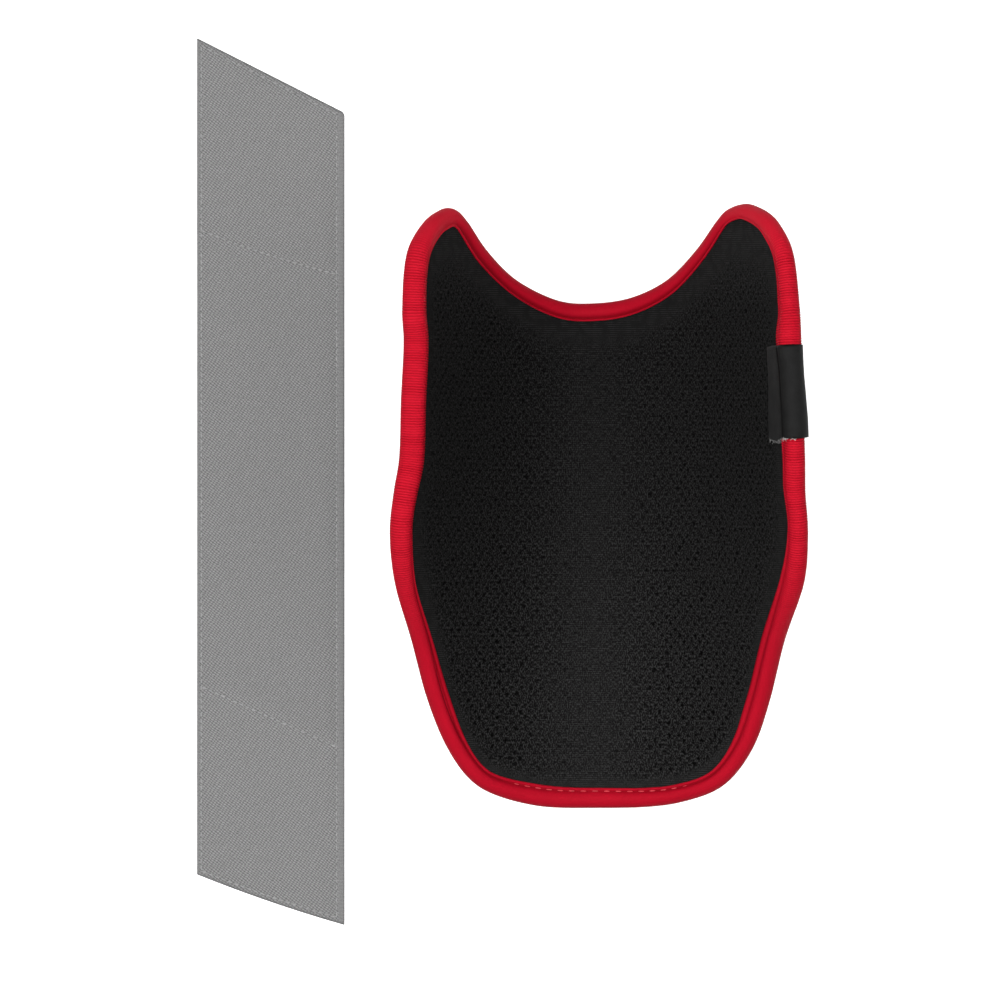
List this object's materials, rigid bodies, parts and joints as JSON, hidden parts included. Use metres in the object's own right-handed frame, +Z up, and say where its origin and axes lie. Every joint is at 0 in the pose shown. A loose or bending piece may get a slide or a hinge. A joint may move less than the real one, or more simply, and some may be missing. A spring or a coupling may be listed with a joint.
{
  "type": "elbow guard",
  "caption": "scooped, padded sport elbow guard with a mesh lining and a bound edge, lying on its back with its detached fastening strap beside it",
  "frame": {"origin": "centre of the underside of the box around the guard and its strap, on the floor they lie on", "axes": "+Z up, out of the hollow; +Y along the arm, towards the notched end; +X from the strap to the guard"},
  "size_m": [0.2097, 0.3052, 0.0913],
  "materials": {
    "air_mesh": "matt open-knit mesh",
    "knit_back": "matt brushed knit",
    "binding_tape": "ribbed stretch tape with a low sheen",
    "satin": "woven satin",
    "twill": "matt fine twill",
    "hook_tape": "hook fastening tape"
  },
  "bodies": {
    "root": {"mesh_lining": "air_mesh", "pad_shell": "knit_back", "edge_binding": "binding_tape", "side_label": "satin", "strap": "twill", "hook_patch_top": "hook_tape", "hook_patch_bottom": "hook_tape"}
  },
  "joints": []
}
